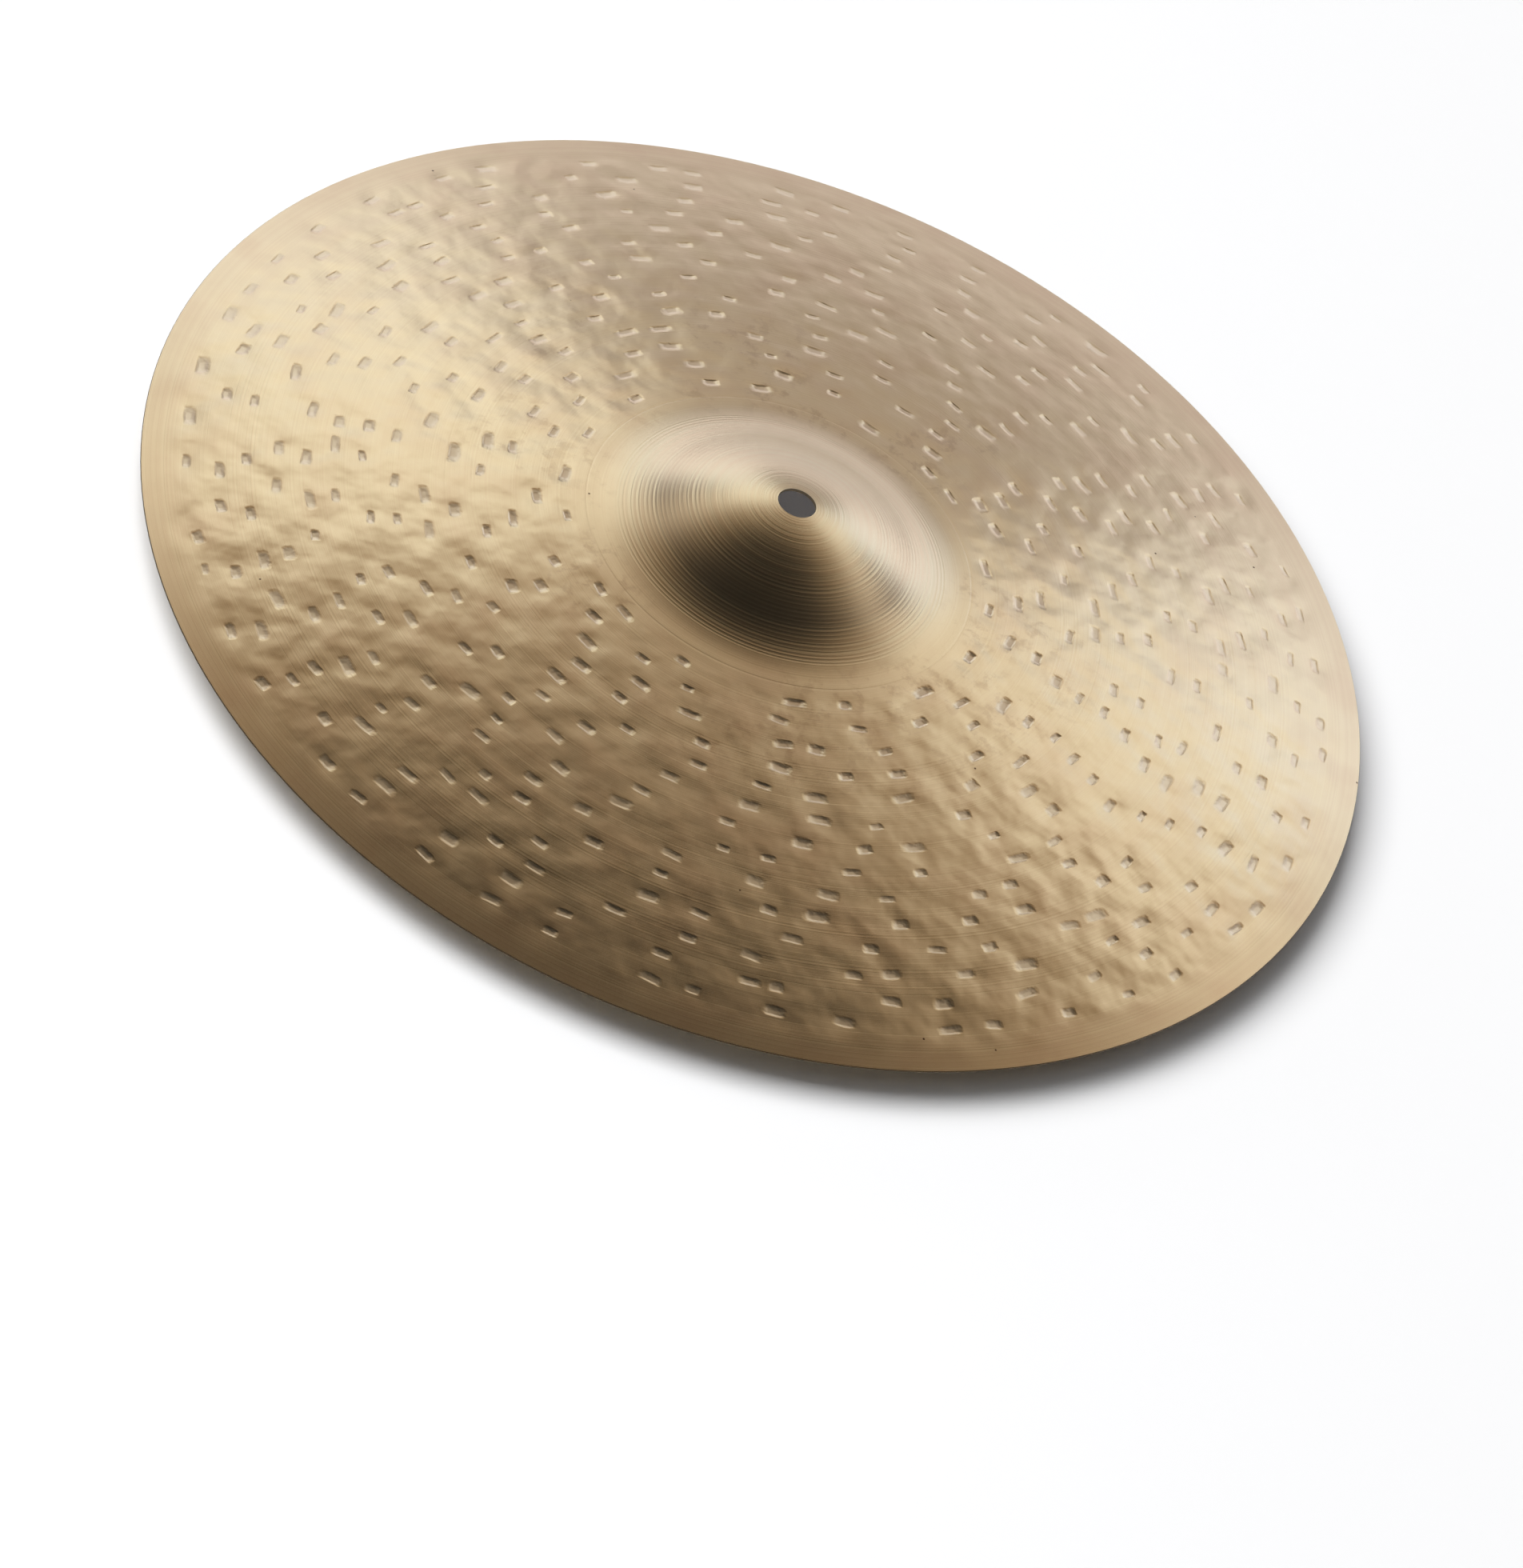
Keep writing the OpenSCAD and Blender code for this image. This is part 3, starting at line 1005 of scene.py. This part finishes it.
def make_floor(stage):
    """A wide level floor below the rim."""
    mesh = bpy.data.meshes.new("floor")
    bm = bmesh.new()
    bmesh.ops.create_grid(bm, x_segments=1, y_segments=1, size=FLOOR_SIZE)
    bmesh.ops.translate(bm, verts=bm.verts, vec=(0, 0, -stage.floor_drop))
    bm.to_mesh(mesh)
    bm.free()
    mesh.materials.append(floor_material(stage))
    floor = bpy.data.objects.new("floor", mesh)
    bpy.context.scene.collection.objects.link(floor)


def make_world():
    """White to the camera; what the plate mirrors is the studio behind it and the room in front."""
    world = bpy.data.worlds.new("studio")
    bpy.context.scene.world = world
    world.use_nodes = True
    g = Graph(world.node_tree)
    direction = g.node("ShaderNodeTexCoord")["Generated"]
    axes = g.node("ShaderNodeSeparateXYZ", inputs={"Vector": direction})
    height = axes["Z"]
    studio = colour(DUSK)
    for low, high, tint in SURFACES_BEHIND:
        studio = g.mix(g.ramp(height, low, high), studio, colour(tint))
    room = g.ramp(height, 0.68, 0.45) * (0.85 - g.ramp(height, 0.0, 0.6) * 0.45)
    front = g.mix(room, colour(BLACK), colour(ROOM_IN_FRONT))
    behind = g.ramp(axes["Y"], 0.0, 0.6)
    rays = g.node("ShaderNodeLightPath")
    seen, on_floor = rays["Is Camera Ray"], rays["Is Diffuse Ray"]
    background = g.node("ShaderNodeBackground", inputs={
        "Color": g.mix(seen, g.mix(behind, front, studio), colour(WHITE)),
        "Strength": (1 - seen) * (1 - on_floor * (1 - 0.3 * behind)) + seen})["Background"]
    g.node("ShaderNodeOutputWorld", inputs={"Surface": background})


def make_softbox(name, azimuth, elevation, distance, size, radiance, tint, lean=0.0):
    """A soft box that faces the plate and leans to a side; its radiance is 1 where it looks white."""
    light = bpy.data.lights.new(name, "AREA")
    light.shape = "RECTANGLE"
    light.size, light.size_y = size
    light.energy, light.color = radiance * math.pi * size[0] * size[1], tint
    lamp = bpy.data.objects.new(name, light)
    lamp.location = (
        distance * math.cos(elevation) * math.cos(azimuth),
        distance * math.cos(elevation) * math.sin(azimuth), distance * math.sin(elevation))
    facing = (-lamp.location).to_track_quat("-Z", "Y") @ Quaternion((0, 0, 1), lean)
    lamp.rotation_euler = facing.to_euler()
    bpy.context.scene.collection.objects.link(lamp)
    return lamp


def make_camera(stage, aim_height):
    """A long lens that looks down on the plate, with the picture rolled."""
    elevation, roll = stage.camera_elevation, stage.camera_roll
    back = Vector((0, -math.cos(elevation), math.sin(elevation)))
    up = Vector((0, math.sin(elevation), math.cos(elevation)))
    axes = Matrix((Vector((1, 0, 0)), up, back))
    rolled = Matrix.Rotation(-roll, 3, "Z") @ axes
    aim = Vector((
        (stage.rim_centre_x - IMAGE_WIDTH / 2) / stage.focal_pixels,
        (IMAGE_HEIGHT / 2 - stage.rim_centre_y) / stage.focal_pixels, -1)).normalized()
    swing = Vector((0, 0, -1)).rotation_difference(aim).to_matrix()
    data = bpy.data.cameras.new("camera")
    data.sensor_width = 36.0
    data.lens = stage.focal_pixels * data.sensor_width / max(IMAGE_WIDTH, IMAGE_HEIGHT)
    data.clip_start, data.clip_end = 0.1, 50.0
    camera = bpy.data.objects.new("camera", data)
    place = back * stage.camera_distance + Vector((0, 0, aim_height))
    camera.matrix_world = Matrix.Translation(place) @ (swing @ rolled).transposed().to_4x4()
    bpy.context.scene.collection.objects.link(camera)
    bpy.context.scene.camera = camera


# ---------------------------------------------------------------- operators

class CYMBAL_OT_plate(bpy.types.Operator):
    """Build the hammered and lathed bronze plate."""

    bl_idname = "cymbal.plate"
    bl_label = "Bronze plate"

    def execute(self, context):
        scene = context.scene
        builder = PlateMesh(scene.cymbal_plate, scene.cymbal_hammering, scene.cymbal_lathing)
        mesh = builder.build()
        plate = bpy.data.objects.new("hammered_plate", mesh)
        scene.collection.objects.link(plate)
        mesh.materials.append(BronzeFinish(scene).build())
        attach(plate, BODY)
        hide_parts(NODE)
        return {"FINISHED"}


class CYMBAL_OT_stage(bpy.types.Operator):
    """Set up the floor, the lights and the camera."""

    bl_idname = "cymbal.stage"
    bl_label = "Stage"

    def execute(self, context):
        stage = context.scene.cymbal_stage
        context.scene.view_settings.view_transform = "Standard"
        make_floor(stage)
        make_world()
        for name, azimuth, elevation, radiance, tint, lean in SOFT_BOXES:
            lamp = make_softbox(
                name, math.radians(azimuth), math.radians(elevation), SOFT_BOX_DISTANCE,
                SOFT_BOX_SIZE, radiance, tint, math.radians(lean))
            lamp.visible_diffuse = False
        for name, azimuth, elevation, size, radiance, tint in FLOOR_LAMPS:
            lamp = make_softbox(
                name, math.radians(azimuth), math.radians(elevation), FLOOR_LAMP_DISTANCE,
                (size, size), radiance, tint)
            lamp.visible_glossy = False
        make_camera(stage, context.scene.cymbal_plate.rim_wall)
        return {"FINISHED"}


class CYMBAL_PT_panel(bpy.types.Panel):
    """Builds the cymbal and its stage."""

    bl_label = "Cymbal"
    bl_space_type = "VIEW_3D"
    bl_region_type = "UI"
    bl_category = "Cymbal"

    def draw(self, context):
        scene = context.scene
        for operator, groups in (
                (CYMBAL_OT_plate, ("cymbal_plate", "cymbal_hammering", "cymbal_lathing", "cymbal_finish")),
                (CYMBAL_OT_stage, ("cymbal_stage",))):
            for group in groups:
                box = self.layout.box()
                settings = getattr(scene, group)
                for name in settings.__annotations__:
                    box.prop(settings, name)
            self.layout.operator(operator.bl_idname)


GROUPS = {
    "cymbal_plate": CymbalPlate, "cymbal_hammering": CymbalHammering,
    "cymbal_lathing": CymbalLathing, "cymbal_finish": CymbalFinish, "cymbal_stage": CymbalStage,
}
CLASSES = (*GROUPS.values(), CYMBAL_OT_plate, CYMBAL_OT_stage, CYMBAL_PT_panel)


def register():
    for each in CLASSES:
        bpy.utils.register_class(each)
    for name, group in GROUPS.items():
        setattr(bpy.types.Scene, name, bpy.props.PointerProperty(type=group))


def unregister():
    for name in GROUPS:
        delattr(bpy.types.Scene, name)
    for each in reversed(CLASSES):
        bpy.utils.unregister_class(each)


def main():
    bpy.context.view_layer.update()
    register()
    bpy.ops.cymbal.plate()
    bpy.ops.cymbal.stage()


if __name__ == "__main__":
    main()
